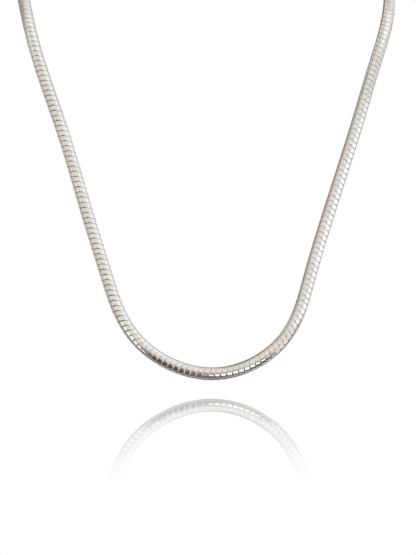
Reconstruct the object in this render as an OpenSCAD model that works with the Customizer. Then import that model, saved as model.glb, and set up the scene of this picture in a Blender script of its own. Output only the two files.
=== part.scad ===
// Necklace: a round snake chain closed at the nape by a plain barrel clasp.
// Millimetres, +Z up. The wearer faces -Y, and the left of the front view is -X.
// The origin is the middle of the neck, level with the chain at the nape.

/* [Chain] */
// Diameter of the round chain
chain_d = 3; // [2:0.1:4]

/* [Clasp] */
// Length of the barrel
clasp_l = 11; // [9:0.5:16]
// Wall of the barrel around the chain's end
clasp_wall = 0.8; // [0.6:0.1:1.4]
// Rounding of the barrel's two rims
clasp_rim_r = 0.5; // [0.2:0.1:0.6]
// Depth of the socket in each end of the barrel
socket_depth = 3.5; // [2.5:0.1:4]
// Gap between the chain and the socket, around it and at its bottom
socket_gap = 0.15; // [0.1:0.05:0.3]

/* [Hidden] */
$fn = 96;

// The points that the chain's spline is drawn towards, from the clasp's left mouth round the
// front to its right mouth. The first and last give the nape its height and depth.
ROUTE = [
    [-15, 40, 0],
    [-31.2, 34.8, 0],
    [-44.6, 20.4, -1.5],
    [-49.6, 3, -4],
    [-48.6, -15.5, -8.2],
    [-46, -35.5, -22.4],
    [-41.8, -44, -38.4],
    [-34.3, -50, -57.9],
    [-29.5, -55.5, -74.8],
    [-24.1, -61.5, -90.8],
    [-18.8, -68, -107.8],
    [1.4, -71, -117.3],
    [20, -68, -107.4],
    [23.9, -61.5, -91.3],
    [29.9, -55.5, -73],
    [36.1, -50, -54.7],
    [40.6, -44, -39.4],
    [45.7, -35.5, -26],
    [46.1, -15.5, -8],
    [48.8, 3, -4],
    [44.6, 20.4, -1.5],
    [31.2, 34.8, 0],
    [15, 40, 0],
];
// The middle of the front loop, in the plane that the loop leans in
LOOP_MIDDLE = [0, -55, -70];
// The tube that stands for the links: its sides, and its rings between two points of the route
TUBE_SIDES = 8;
RINGS_PER_SPAN = 3;

nape = [0, ROUTE[0].y, ROUTE[0].z];
socket_r = chain_d / 2 + socket_gap;
clasp_r = socket_r + clasp_wall;
chain_end_x = clasp_l / 2 - socket_depth + socket_gap;

function left_of(p) = [-p.x, p.y, p.z];

mouth = nape + [clasp_l / 2, 0, 0];
chain_end = nape + [chain_end_x, 0, 0];

// Guide points of the spline: the two mouths of the clasp, the route between them, and one more
// point past each mouth, which makes the spline start and end there along the barrel.
inner_guides = concat([left_of(mouth)], ROUTE, [mouth]);
last_guide = len(inner_guides) - 1;
guides = concat(
    [2 * inner_guides[0] - inner_guides[1]],
    inner_guides,
    [2 * inner_guides[last_guide] - inner_guides[last_guide - 1]]
);

// Point of the uniform cubic B-spline at share t of the span that starts at guide i + 1
function spline_point(i, t) =
    (pow(1 - t, 3) * guides[i]
    + (3 * pow(t, 3) - 6 * pow(t, 2) + 4) * guides[i + 1]
    + (-3 * pow(t, 3) + 3 * pow(t, 2) + 3 * t + 1) * guides[i + 2]
    + pow(t, 3) * guides[i + 3]) / 6;

// Middle line of the chain, with a straight end inside each socket
path = concat(
    [left_of(chain_end)],
    [for (i = [0:last_guide - 1], k = [0:RINGS_PER_SPAN - 1]) spline_point(i, k / RINGS_PER_SPAN)],
    [mouth, chain_end]
);
last_ring = len(path) - 1;

function unit(v) = v / norm(v);

// Direction of the chain at ring i
function heading(i) = unit(path[min(i + 1, last_ring)] - path[max(i - 1, 0)]);

// Direction at ring i that is square to the chain and points away from the middle of the loop
function outward(i) =
    let (away = path[i] - LOOP_MIDDLE, along = heading(i))
    unit(away - (away * along) * along);

// Corners of ring i
function ring(i) =
    let (out = outward(i), side = cross(heading(i), out))
    [for (k = [0:TUBE_SIDES - 1])
        let (a = 360 * k / TUBE_SIDES)
        path[i] + chain_d / 2 * (cos(a) * out + sin(a) * side)];

// Closed tube along the whole path
module swept_tube() {
    corners = [for (i = [0:last_ring]) each ring(i)];
    walls = [
        for (i = [0:last_ring - 1], k = [0:TUBE_SIDES - 1])
            let (next = (k + 1) % TUBE_SIDES, a = i * TUBE_SIDES, b = a + TUBE_SIDES)
            [a + k, b + k, b + next, a + next]
    ];
    first_cap = [for (k = [0:TUBE_SIDES - 1]) k];
    last_cap = [for (k = [TUBE_SIDES - 1:-1:0]) last_ring * TUBE_SIDES + k];
    polyhedron(points = corners, faces = concat(walls, [first_cap, last_cap]));
}

// Half section of the solid barrel: radius along X, half length along Y, with a rounded rim
module barrel_section() {
    square([clasp_r, clasp_l / 2 - clasp_rim_r]);
    square([clasp_r - clasp_rim_r, clasp_l / 2]);
    translate([clasp_r - clasp_rim_r, clasp_l / 2 - clasp_rim_r])
        intersection() {
            circle(r = clasp_rim_r);
            square(clasp_rim_r);
        }
}

// One end of the barrel, from its middle to its mouth, along +Z
module barrel_half() {
    difference() {
        rotate_extrude() barrel_section();
        translate([0, 0, clasp_l / 2 - socket_depth])
            cylinder(r = socket_r, h = socket_depth + 1);
    }
}

module snake_chain() {
    color([0.84, 0.83, 0.81]) swept_tube();
}

module clasp() {
    color([0.8, 0.8, 0.79])
        translate(nape)
            union() {
                rotate([0, 90, 0]) barrel_half();
                rotate([0, -90, 0]) barrel_half();
            }
}

snake_chain();
clasp();
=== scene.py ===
"""Looks of a round silver snake chain necklace with a plain barrel clasp.

Metres throughout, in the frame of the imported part: +Z up, the wearer faces -Y, and the origin is
the middle of the neck, level with the chain at the nape.
"""

import bpy
import numpy as np
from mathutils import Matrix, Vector


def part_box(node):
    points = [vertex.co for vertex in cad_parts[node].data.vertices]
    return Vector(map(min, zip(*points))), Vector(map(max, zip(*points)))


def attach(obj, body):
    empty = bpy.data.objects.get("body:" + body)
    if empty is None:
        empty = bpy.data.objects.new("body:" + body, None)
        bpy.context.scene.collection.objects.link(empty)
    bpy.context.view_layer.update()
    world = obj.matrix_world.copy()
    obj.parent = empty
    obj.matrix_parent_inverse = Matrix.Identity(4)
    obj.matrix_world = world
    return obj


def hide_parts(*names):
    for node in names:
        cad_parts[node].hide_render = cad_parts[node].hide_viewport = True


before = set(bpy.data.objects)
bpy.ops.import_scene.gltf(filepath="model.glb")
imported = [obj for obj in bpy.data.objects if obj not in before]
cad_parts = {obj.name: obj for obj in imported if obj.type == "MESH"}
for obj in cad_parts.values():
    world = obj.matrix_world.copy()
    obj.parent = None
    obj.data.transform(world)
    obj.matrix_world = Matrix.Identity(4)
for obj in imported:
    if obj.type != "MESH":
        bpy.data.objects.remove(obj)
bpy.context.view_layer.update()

MM = 0.001

# The chain's links. Along a link, LINK_FLAT and LINK_EDGE are shares of half the pitch: the band is
# flat as far as the first, and its straight shoulder ends at the second, or at CLOSED_EDGE on the
# inside of a tight bend.
CHAIN_RADIUS = 1.53 * MM
LINK_PITCH = 1.38 * MM
LINK_LEAN = 0.52 * MM
LINK_CURL = 0.06 * MM
LINK_FLAT = 0.75
LINK_EDGE = 0.915
CLOSED_EDGE = 0.985
LINK_SHOULDER = 0.050 * MM
GAP_DEPTH = 0.14 * MM
SIDES = 14

# How far the gaps close. On the inside of the loop they lose INSIDE_CLOSING of their depth, which
# comes in between two shares of the radius, measured towards the loop's middle. On the inside of a
# bend they lose as much of it as the bend shortens that side there, in shares of FULL_SQUEEZE, up to
# BEND_CLOSING.
INSIDE_CLOSING = 0.62
INSIDE_FROM = 0.1
INSIDE_TO = 0.7
FULL_SQUEEZE = 0.055
BEND_CLOSING = 0.9

# Small differences from link to link: the seed of their random draws and their standard deviations
LINK_SEED = 7
SHIFT_SPREAD = 0.010 * MM
SWELL_SPREAD = 0.005 * MM
TILT_SPREAD = np.radians(0.5)

# The chain's ends in the clasp
SOCKET_DEPTH = 3.5 * MM
SOCKET_GAP = 0.15 * MM

# Points of the dense route in one span of its spline, and in each straight end
SPAN_POINTS = 160
END_POINTS = 24

# The camera, from the photo: how much one pixel spans at the loop's lowest point, where the middle
# of the picture lies as seen from that point, and how far below the middle the table's plane is,
# halfway between the loop and its mirror image
FRAME_HEIGHT_PX = 555
PIXEL = 0.2344 * MM
CAMERA_DISTANCE = 600 * MM
SENSOR_HEIGHT_IN_MM = 24
LOOP_BOTTOM = Vector((0.0005, -0.0700, -0.1140))
MIDDLE_ABOVE_BOTTOM_PX = 96.1
MIRROR_LINE_BELOW_MIDDLE_PX = 112

# The table: half its width, the distance from the loop at which its mirror has faded out, and the
# mirror's share right under the loop
TABLE_REACH = 20
MIRROR_FADE = 272 * MM
MIRROR_SHARE = 0.54

# Points that the chain's spline is drawn towards, from the clasp's left mouth round the front to
# its right mouth, as in the part's source. From the fifth to the fifth last they aren't chosen by
# hand: another program fitted their x and z to the middle line of the photo's chain.
ROUTE = np.array([
    (-0.0150, 0.0400, 0.0000),
    (-0.0312, 0.0348, 0.0000),
    (-0.0446, 0.0204, -0.0015),
    (-0.0496, 0.0030, -0.0040),
    (-0.0486, -0.0155, -0.0082),
    (-0.0460, -0.0355, -0.0224),
    (-0.0418, -0.0440, -0.0384),
    (-0.0343, -0.0500, -0.0579),
    (-0.0295, -0.0555, -0.0748),
    (-0.0241, -0.0615, -0.0908),
    (-0.0188, -0.0680, -0.1078),
    (0.0014, -0.0710, -0.1173),
    (0.0200, -0.0680, -0.1074),
    (0.0239, -0.0615, -0.0913),
    (0.0299, -0.0555, -0.0730),
    (0.0361, -0.0500, -0.0547),
    (0.0406, -0.0440, -0.0394),
    (0.0457, -0.0355, -0.0260),
    (0.0461, -0.0155, -0.0080),
    (0.0488, 0.0030, -0.0040),
    (0.0446, 0.0204, -0.0015),
    (0.0312, 0.0348, 0.0000),
    (0.0150, 0.0400, 0.0000),
])
LOOP_MIDDLE = np.array((0.0, -0.055, -0.070))


def linear(hex_colour):
    """Turns an sRGB hex colour into linear red, green, blue and an alpha of 1."""
    values = np.array([int(hex_colour[i:i + 2], 16) for i in (1, 3, 5)]) / 255
    bent = np.where(values <= 0.04045, values / 12.92, ((values + 0.055) / 1.055) ** 2.4)
    return (*bent, 1.0)


def add_node(tree, kind, settings=None, inputs=None):
    """Adds a node with its settings. An input is a plain value, or a socket that is linked in."""
    node = tree.nodes.new(kind)
    for name, value in (settings or {}).items():
        setattr(node, name, value)
    for name, value in (inputs or {}).items():
        if isinstance(value, bpy.types.NodeSocket):
            tree.links.new(value, node.inputs[name])
        else:
            node.inputs[name].default_value = value
    return node


# Camera

def make_camera():
    """A level camera in front of the loop, with the photo's framing."""
    data = bpy.data.cameras.new("camera")
    data.sensor_fit = "VERTICAL"
    data.sensor_height = SENSOR_HEIGHT_IN_MM
    data.lens = data.sensor_height * CAMERA_DISTANCE / (FRAME_HEIGHT_PX * PIXEL)
    data.clip_start = 10 * MM
    data.clip_end = 100
    camera = bpy.data.objects.new("camera", data)
    camera.location = (
        0,
        LOOP_BOTTOM.y - CAMERA_DISTANCE,
        LOOP_BOTTOM.z + MIDDLE_ABOVE_BOTTOM_PX * PIXEL,
    )
    camera.rotation_euler = (np.pi / 2, 0, 0)
    bpy.context.scene.collection.objects.link(camera)
    bpy.context.scene.camera = camera
    return camera


# Route of the chain

def spline(points, per_span):
    """Uniform cubic B-spline drawn towards the points, starting at the first and ending at the last.

    A point at share t of a span is the sum of four neighbouring guide points, weighted by
    (1 - t)^3, 3t^3 - 6t^2 + 4, -3t^3 + 3t^2 + 3t + 1 and t^3, divided by 6.
    """
    guides = np.vstack([2 * points[0] - points[1], points, 2 * points[-1] - points[-2]])
    t = np.arange(per_span) / per_span
    weights = np.stack([
        (1 - t) ** 3,
        3 * t ** 3 - 6 * t ** 2 + 4,
        -3 * t ** 3 + 3 * t ** 2 + 3 * t + 1,
        t ** 3,
    ], axis=1) / 6
    spans = len(guides) - 3
    neighbours = np.stack([guides[k:k + spans] for k in range(4)], axis=1)
    curve = np.einsum("tk,skc->stc", weights, neighbours).reshape(-1, 3)
    return np.vstack([curve, points[-1]])


def unit(vectors):
    """The vectors at length 1."""
    return vectors / np.linalg.norm(vectors, axis=-1, keepdims=True)


def look_up(s, lengths, values):
    """The rows of values, which belong to the lengths, at lengths s between them."""
    return np.stack([np.interp(s, lengths, values[:, k]) for k in range(3)], axis=-1)


def chain_route():
    """Middle line of the chain as dense points, with a straight end inside each of the sockets."""
    clasp_low, clasp_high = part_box("clasp")
    nape = ROUTE[0] * (0, 1, 1)
    mouth = np.array((clasp_high.x, 0, 0))
    end = np.array((clasp_high.x - SOCKET_DEPTH + SOCKET_GAP, 0, 0))
    guides = np.vstack([nape - mouth, ROUTE, nape + mouth])
    curve = spline(guides, SPAN_POINTS)
    straight = np.linspace(0, 1, END_POINTS, endpoint=False)[:, None]
    first = (nape - end) * (1 - straight) + (nape - mouth) * straight
    last = (nape + end) * (1 - straight) + (nape + mouth) * straight
    return np.vstack([first, curve, last[::-1]])


def along(route, s):
    """Point, outward and side directions and bend of the route at lengths s from its start.

    Outward is the direction away from the middle of the front loop, made square to the heading, and
    side is the heading crossed with it. The bend is the heading's change for each metre.
    """
    lengths = np.concatenate([[0], np.cumsum(np.linalg.norm(np.diff(route, axis=0), axis=1))])
    headings = unit(np.gradient(route, lengths, axis=0))
    bends = np.gradient(headings, lengths, axis=0)
    point = look_up(s, lengths, route)
    heading = unit(look_up(s, lengths, headings))
    away = point - LOOP_MIDDLE
    outward = unit(away - (away * heading).sum(-1, keepdims=True) * heading)
    return point, outward, np.cross(heading, outward), look_up(s, lengths, bends)


# Meshes

def closed_tube(name, rows, sides, uv, values):
    """A closed tube from rows of corners, with a fan to a pole at each end.

    rows is an array of ring corners, uv the two texture coordinates at each corner and one more
    column for the seam, and values holds named numbers, one for each corner.
    """
    count = len(rows)
    corners = rows.reshape(-1, 3)
    poles = np.stack([rows[0].mean(axis=0), rows[-1].mean(axis=0)])
    i, k = np.meshgrid(np.arange(count - 1), np.arange(sides), indexing="ij")
    after = (k + 1) % sides
    quads = np.stack([
        i * sides + k, i * sides + after, (i + 1) * sides + after, (i + 1) * sides + k
    ], axis=-1).reshape(-1, 4)
    quad_uv = np.stack([uv[i, k], uv[i, k + 1], uv[i + 1, k + 1], uv[i + 1, k]], axis=-2)
    k = np.arange(sides)
    after = (k + 1) % sides
    base = (count - 1) * sides
    first_fan = np.stack([after, k, np.full(sides, len(corners))], axis=1)
    last_fan = np.stack([base + k, base + after, np.full(sides, len(corners) + 1)], axis=1)
    first_uv = np.stack([uv[0, k + 1], uv[0, k], uv[0, k]], axis=-2)
    last_uv = np.stack([uv[-1, k], uv[-1, k + 1], uv[-1, k]], axis=-2)

    mesh = bpy.data.meshes.new(name)
    mesh.vertices.add(len(corners) + 2)
    mesh.vertices.foreach_set("co", np.vstack([corners, poles]).astype(np.float32).ravel())
    loops = np.concatenate([quads.ravel(), first_fan.ravel(), last_fan.ravel()])
    sizes = np.concatenate([np.full(len(quads), 4), np.full(2 * sides, 3)])
    mesh.loops.add(len(loops))
    mesh.loops.foreach_set("vertex_index", loops.astype(np.int32))
    mesh.polygons.add(len(sizes))
    starts = np.concatenate([[0], np.cumsum(sizes)[:-1]])
    mesh.polygons.foreach_set("loop_start", starts.astype(np.int32))
    mesh.polygons.foreach_set("use_smooth", np.ones(len(sizes), bool))
    mesh.update(calc_edges=True)
    layer = mesh.uv_layers.new(name="UVMap")
    all_uv = np.concatenate([quad_uv.reshape(-1, 2), first_uv.reshape(-1, 2), last_uv.reshape(-1, 2)])
    layer.data.foreach_set("uv", all_uv.astype(np.float32).ravel())
    for attribute, numbers in values.items():
        stored = mesh.attributes.new(attribute, "FLOAT", "POINT")
        ends = [numbers[0].mean(), numbers[-1].mean()]
        stored.data.foreach_set("value", np.append(numbers.ravel(), ends).astype(np.float32))
    mesh.validate()
    piece = bpy.data.objects.new(name, mesh)
    bpy.context.scene.collection.objects.link(piece)
    return piece


def make_chain():
    """The chain's links as one closed surface, ring after ring along the route.

    Each link is a band that leans: a corner at angle a round the chain and at offset u along the
    link lies at the link's place on the route plus u, less LINK_LEAN times the cosine of a, plus
    LINK_CURL times the sine of 2a. The band is flat in the middle, its straight shoulders fall by
    LINK_SHOULDER, and the gap falls to GAP_DEPTH. A link is stiff, so on the inside of a bend, where
    the pitch is squeezed to 1 less the radius times the bend, it takes up a larger share of it, and
    the gap closes. On the inside of the loop the gap's depth falls off as 3x^2 - 2x^3, with x from 0
    at INSIDE_FROM to 1 at INSIDE_TO.
    """
    route = chain_route()
    length = np.linalg.norm(np.diff(route, axis=0), axis=1).sum()
    count = int(round(length / LINK_PITCH))
    pitch = length / count

    random = np.random.default_rng(LINK_SEED)
    shift = random.normal(0, SHIFT_SPREAD, count)
    swell = random.normal(0, SWELL_SPREAD, count)
    tilt = random.normal(0, TILT_SPREAD, count)
    tilt_to = random.uniform(0, 2 * np.pi, count)
    tone = random.uniform(0, 1, count)

    shares = np.array((-LINK_EDGE, -LINK_FLAT, LINK_FLAT, LINK_EDGE, 1))
    falls = np.array((LINK_SHOULDER, 0, 0, LINK_SHOULDER, GAP_DEPTH))
    in_gap = np.array((0, 0, 0, 0, 1.0))
    link = np.repeat(np.arange(count), len(shares))
    share = np.tile(shares, count)[:, None]
    angle = np.arange(SIDES) / SIDES * 2 * np.pi
    cosine = np.cos(angle)[:, None]
    sine = np.sin(angle)[:, None]

    centre = (link + 0.5) * pitch
    _, outward, side, bend = along(route, centre)
    spoke = outward[:, None] * cosine + side[:, None] * sine
    squeeze = np.minimum(1 - CHAIN_RADIUS * (spoke * bend[:, None]).sum(-1), 1)
    share = np.where(abs(share) < 1, share * np.minimum(1 / squeeze, CLOSED_EDGE / LINK_EDGE), share)
    inside = np.clip((-np.cos(angle) - INSIDE_FROM) / (INSIDE_TO - INSIDE_FROM), 0, 1)
    inside_closing = INSIDE_CLOSING * inside ** 2 * (3 - 2 * inside)
    bend_closing = np.minimum((1 - squeeze) / FULL_SQUEEZE, BEND_CLOSING)
    left_open = 1 - np.maximum(inside_closing, bend_closing)
    wave = LINK_CURL * np.sin(2 * angle) - LINK_LEAN * np.cos(angle)
    lean = tilt[link][:, None] * np.cos(angle - tilt_to[link][:, None]) * CHAIN_RADIUS
    s = centre[:, None] + share * pitch / 2 + wave + shift[link][:, None] + lean
    point, outward, side, _ = along(route, np.clip(s, 0, length))
    radius = CHAIN_RADIUS - np.tile(falls, count)[:, None] * left_open + swell[link][:, None]
    rows = point + (outward * cosine + side * sine) * radius[:, :, None]

    across = np.arange(SIDES + 1) / SIDES
    lengthwise = centre[:, None] / pitch + np.tile(shares, count)[:, None] / 2
    uv = np.stack(np.broadcast_arrays(across, lengthwise), axis=-1)
    values = {
        "gap_depth": np.tile(in_gap, count)[:, None] * left_open,
        "link_tone": np.repeat(tone[link][:, None], SIDES, axis=1),
    }
    piece = closed_tube("snake_chain_links", rows, SIDES, uv, values)
    mesh = piece.data
    ends = np.empty(2 * len(mesh.edges), np.int32)
    mesh.edges.foreach_get("vertices", ends)
    row = ends.reshape(-1, 2) // SIDES
    round_a_ring = (row[:, 0] == row[:, 1]) & (row[:, 0] < len(rows))
    sharp = mesh.attributes.new("sharp_edge", "BOOLEAN", "EDGE")
    sharp.data.foreach_set("value", round_a_ring)
    return piece


# Materials

# Silver as it is where the polish is best and where it is worn softer, and the painted shade in the
# gaps between the links
SILVER_BRIGHT = "#f9f8f6"
SILVER_SOFT = "#f2f1ed"
GAP_PAINTED_SHADE = "#aba19b"
POLISHED_ROUGHNESS_LOW = 0.07
POLISHED_ROUGHNESS_HIGH = 0.13
PAINTED_SHADE_ROUGHNESS = 0.5
# Share of a gap's depth at which the painted shade is full
FULL_PAINTED_SHADE = 0.5

# Real polishing scratches are a few thousandths of a millimetre wide. They are drawn this wide here
# so that they show at all.
SCRATCH_SIZE = 0.25 * MM
SCRATCH_DEPTH = 0.01 * MM
SCRATCH_STRENGTH = 0.05
CLOUD_SIZE = 6 * MM
# Most values of a noise lie between these two
NOISE_LOW = 0.3
NOISE_HIGH = 0.7


def silver_material(name, gaps):
    """Sterling silver, drawn and polished bright: a nearly white mirror with a warm cast.

    Fine polishing scratches blur the mirror a little, so its edges look soft, and a faint cloud, or
    each link's own tone, keeps large parts from looking alike. Where gaps is true, the metal between
    the links is painted darker and duller: painted shade, which draws a brown-grey line round each
    link.
    """
    material = bpy.data.materials.new(name)
    material.use_nodes = True
    tree = material.node_tree
    tree.nodes.clear()
    place = add_node(tree, "ShaderNodeTexCoord")
    scratches = add_node(
        tree, "ShaderNodeTexNoise",
        inputs={"Vector": place.outputs["Object"], "Scale": 1 / SCRATCH_SIZE, "Detail": 3.0},
    )
    cloud = add_node(
        tree, "ShaderNodeTexNoise",
        inputs={"Vector": place.outputs["Object"], "Scale": 1 / CLOUD_SIZE, "Detail": 2.0},
    )
    rough = add_node(
        tree, "ShaderNodeMapRange",
        inputs={
            "Value": scratches.outputs["Fac"],
            "From Min": NOISE_LOW, "From Max": NOISE_HIGH,
            "To Min": POLISHED_ROUGHNESS_LOW, "To Max": POLISHED_ROUGHNESS_HIGH,
        },
    )
    tone = cloud.outputs["Fac"]
    if gaps:
        tone = add_node(tree, "ShaderNodeAttribute", {"attribute_name": "link_tone"}).outputs["Fac"]
    colour = add_node(
        tree, "ShaderNodeMix", {"data_type": "RGBA"},
        {"Factor": tone, "A": linear(SILVER_BRIGHT), "B": linear(SILVER_SOFT)},
    )
    colour_out = colour.outputs["Result"]
    rough_out = rough.outputs["Result"]
    if gaps:
        # Painted shade in the gaps between the links: darker and duller colour with the gap's depth
        gap = add_node(tree, "ShaderNodeAttribute", {"attribute_name": "gap_depth"})
        shade = add_node(
            tree, "ShaderNodeMapRange",
            inputs={"Value": gap.outputs["Fac"], "From Max": FULL_PAINTED_SHADE},
        )
        dark = add_node(
            tree, "ShaderNodeMix", {"data_type": "RGBA"},
            {"Factor": shade.outputs["Result"], "A": colour_out, "B": linear(GAP_PAINTED_SHADE)},
        )
        dull = add_node(
            tree, "ShaderNodeMix",
            inputs={"Factor": shade.outputs["Result"], "A": rough_out, "B": PAINTED_SHADE_ROUGHNESS},
        )
        colour_out = dark.outputs["Result"]
        rough_out = dull.outputs["Result"]
    relief = add_node(
        tree, "ShaderNodeBump",
        inputs={
            "Height": scratches.outputs["Fac"],
            "Strength": SCRATCH_STRENGTH, "Distance": SCRATCH_DEPTH,
        },
    )
    surface = add_node(
        tree, "ShaderNodeBsdfPrincipled",
        inputs={
            "Base Color": colour_out, "Roughness": rough_out, "Metallic": 1.0,
            "Normal": relief.outputs["Normal"],
        },
    )
    add_node(tree, "ShaderNodeOutputMaterial", inputs={"Surface": surface.outputs["BSDF"]})
    return material


# Stage

# The room round the studio: it goes from its colour below to its colour above between the
# elevations with these sines
ROOM_LOW = -0.66
ROOM_HIGH = 0.31
ROOM_BELOW = "#7d6c6b"
ROOM_ABOVE = "#e2dcd7"

# Soft areas of the studio round the chain: what it is, azimuth and elevation of its middle, half
# its width and height, its turn and its edge's share, colour and strength. Azimuth 0 is towards the
# camera and 90 to the right, elevation 90 is straight up, and all angles are in degrees. Most of
# these numbers and of the room's aren't chosen by hand: another program fitted them to the tones
# across the photo's chain. The others were set one by one.
STUDIO = [
    ("left wall", -148, 33, 76, 40, 25, 0.24, "#a39d9a", 1.0),
    ("pale floor behind", 180, -12, 58, 22, 0, 0.5, "#c6c1be", 1.0),
    ("far end of the left wall", -155, 30, 22, 26, 0, 0.5, "#6e6868", 1.0),
    ("high left", -113, 59, 41, 10, 54, 0.12, "#e2dbd7", 1.0),
    ("light low on the left", -66, -16, 28, 14, 49, 0.12, "#ffffff", 1.07),
    ("dull patch on the left", -86, -3, 9, 16, 0, 0.5, "#aaa39e", 1.0),
    ("dark front on the left", -53, -46, 76, 19, 47, 0.56, "#584a47", 1.0),
    ("low left", -143, -90, 62, 28, 37, 0.14, "#c8c7c8", 1.0),
    ("dark streak on the right", 43, -15, 37, 4, -37, 0.12, "#60453c", 1.0),
    ("light on the right", 89, -41, 103, 16, -47, 0.70, "#eeeae9", 1.0),
    ("window", 77, 7, 39, 8, -17, 0.21, "#f2f9ff", 1.2),
    ("bright wall on the right", 108, 29, 65, 6, -20, 0.12, "#eeeff1", 1.0),
    ("high right", 63, 62, 33, 20, -22, 0.14, "#fdffff", 1.07),
    ("grey on the far right", 124, 15, 9, 28, 17, 0.13, "#d2d4d8", 1.0),
    ("front top", 4, 43, 12, 15, 13, 0.12, "#efebea", 1.0),
    ("dark spots on the right", 68, -44, 24, 13, -28, 0.38, "#342828", 1.0),
    ("lamp", 20, -27, 25, 21, -15, 0.12, "#fffcf4", 1.19),
    ("high on the far right", 116, 54, 34, 12, 0, 0.3, "#eeeff1", 1.0),
    ("white backdrop", 180, 3.5, 13, 5, 0, 0.25, "#ffffff", 1.0),
]


def make_world():
    """Plain white for the camera. The silver mirrors a pale room, darker below, with soft areas.

    An area is a turned ellipse in azimuth and elevation. It fades out smoothly while the distance
    from its middle, in half sizes, goes from 1 less its edge to 1 plus its edge.
    """
    world = bpy.data.worlds.new("studio")
    world.use_nodes = True
    tree = world.node_tree
    tree.nodes.clear()
    place = add_node(tree, "ShaderNodeTexCoord")
    parts = add_node(tree, "ShaderNodeSeparateXYZ", inputs={"Vector": place.outputs["Generated"]})
    height = add_node(
        tree, "ShaderNodeMapRange", {"interpolation_type": "SMOOTHSTEP"},
        {"Value": parts.outputs["Z"], "From Min": ROOM_LOW, "From Max": ROOM_HIGH},
    )
    room = add_node(
        tree, "ShaderNodeMix", {"data_type": "RGBA"},
        {"Factor": height.outputs["Result"], "A": linear(ROOM_BELOW), "B": linear(ROOM_ABOVE)},
    )
    towards = add_node(
        tree, "ShaderNodeMath", {"operation": "MULTIPLY"}, {0: parts.outputs["Y"], 1: -1.0}
    )
    azimuth = add_node(
        tree, "ShaderNodeMath", {"operation": "ARCTAN2"}, {0: parts.outputs["X"], 1: towards.outputs[0]}
    )
    elevation = add_node(
        tree, "ShaderNodeMath", {"operation": "ARCSINE"}, {0: parts.outputs["Z"]}
    )
    angles = add_node(
        tree, "ShaderNodeCombineXYZ", inputs={"X": azimuth.outputs[0], "Y": elevation.outputs[0]}
    )
    colour = room.outputs["Result"]
    for _, middle_a, middle_e, half_a, half_e, turn, edge, tint, strength in STUDIO:
        offset = add_node(
            tree, "ShaderNodeVectorMath", {"operation": "SUBTRACT"},
            {0: angles.outputs["Vector"], 1: (np.radians(middle_a), np.radians(middle_e), 0)},
        )
        shortest = add_node(
            tree, "ShaderNodeVectorMath", {"operation": "WRAP"},
            {0: offset.outputs["Vector"], 1: (np.pi, np.pi, np.pi), 2: (-np.pi, -np.pi, -np.pi)},
        )
        within = add_node(
            tree, "ShaderNodeMapping", {"vector_type": "TEXTURE"},
            {
                "Vector": shortest.outputs["Vector"],
                "Rotation": (0, 0, np.radians(turn)),
                "Scale": (np.radians(half_a), np.radians(half_e), 1),
            },
        )
        distance = add_node(
            tree, "ShaderNodeVectorMath", {"operation": "LENGTH"}, {0: within.outputs["Vector"]}
        )
        share = add_node(
            tree, "ShaderNodeMapRange", {"interpolation_type": "SMOOTHSTEP"},
            {"Value": distance.outputs["Value"], "From Min": 1 + edge, "From Max": 1 - edge},
        )
        lit = tuple(strength * c for c in linear(tint)[:3]) + (1.0,)
        mixed = add_node(
            tree, "ShaderNodeMix", {"data_type": "RGBA"},
            {"Factor": share.outputs["Result"], "A": colour, "B": lit},
        )
        colour = mixed.outputs["Result"]
    studio = add_node(tree, "ShaderNodeBackground", inputs={"Color": colour, "Strength": 1.0})
    white = add_node(
        tree, "ShaderNodeBackground", inputs={"Color": (1, 1, 1, 1), "Strength": 1.0}
    )
    seen = add_node(tree, "ShaderNodeLightPath")
    both = add_node(
        tree, "ShaderNodeMixShader",
        inputs={0: seen.outputs["Is Camera Ray"], 1: studio.outputs[0], 2: white.outputs[0]},
    )
    add_node(tree, "ShaderNodeOutputWorld", inputs={"Surface": both.outputs[0]})
    bpy.context.scene.world = world


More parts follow.
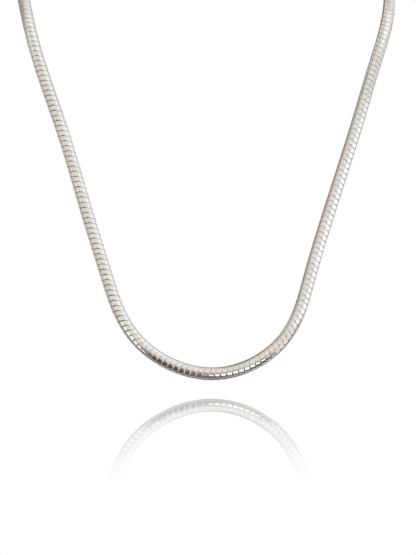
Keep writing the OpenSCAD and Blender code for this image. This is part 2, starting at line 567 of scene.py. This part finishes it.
def make_floor(camera):
    """A white glossy table just under the loop.

    Its mirror's share falls with the square of the distance from the loop's lowest point. The table
    shines white by itself, and the chain doesn't mirror it.
    """
    height = camera.location.z - MIRROR_LINE_BELOW_MIDDLE_PX * PIXEL
    mesh = bpy.data.meshes.new("table")
    signs = ((-1, -1), (1, -1), (1, 1), (-1, 1))
    mesh.from_pydata([(x * TABLE_REACH, y * TABLE_REACH, height) for x, y in signs], [], [(0, 1, 2, 3)])
    table = bpy.data.objects.new("table", mesh)
    bpy.context.scene.collection.objects.link(table)
    table.visible_glossy = False
    table.visible_diffuse = False
    table.visible_shadow = False
    material = bpy.data.materials.new("white glossy acrylic table")
    material.use_nodes = True
    tree = material.node_tree
    tree.nodes.clear()
    place = add_node(tree, "ShaderNodeTexCoord")
    flat = add_node(
        tree, "ShaderNodeVectorMath", {"operation": "SUBTRACT"},
        {0: place.outputs["Object"], 1: (LOOP_BOTTOM.x, LOOP_BOTTOM.y, height)},
    )
    distance = add_node(
        tree, "ShaderNodeVectorMath", {"operation": "LENGTH"}, {0: flat.outputs["Vector"]}
    )
    share = add_node(
        tree, "ShaderNodeMath", {"operation": "DIVIDE"},
        {0: distance.outputs["Value"], 1: MIRROR_FADE},
    )
    squared = add_node(
        tree, "ShaderNodeMath", {"operation": "POWER"}, {0: share.outputs[0], 1: 2.0}
    )
    strength = add_node(
        tree, "ShaderNodeMapRange",
        inputs={"Value": squared.outputs[0], "To Min": MIRROR_SHARE, "To Max": 0.0},
    )
    white = add_node(tree, "ShaderNodeEmission", inputs={"Color": (1, 1, 1, 1), "Strength": 1.0})
    mirror = add_node(
        tree, "ShaderNodeBsdfGlossy", inputs={"Color": (1, 1, 1, 1), "Roughness": 0.0}
    )
    both = add_node(
        tree, "ShaderNodeMixShader",
        inputs={0: strength.outputs["Result"], 1: white.outputs[0], 2: mirror.outputs[0]},
    )
    add_node(tree, "ShaderNodeOutputMaterial", inputs={"Surface": both.outputs[0]})
    mesh.materials.append(material)


camera = make_camera()

chain_silver = silver_material("polished sterling silver links", gaps=True)
clasp_silver = silver_material("polished sterling silver barrel", gaps=False)

chain = make_chain()
chain.data.materials.append(chain_silver)
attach(chain, "root")
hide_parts("snake_chain")

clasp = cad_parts["clasp"]
for place in clasp.material_slots:
    place.material = clasp_silver

make_world()
make_floor(camera)
bpy.context.scene.view_settings.view_transform = "Standard"
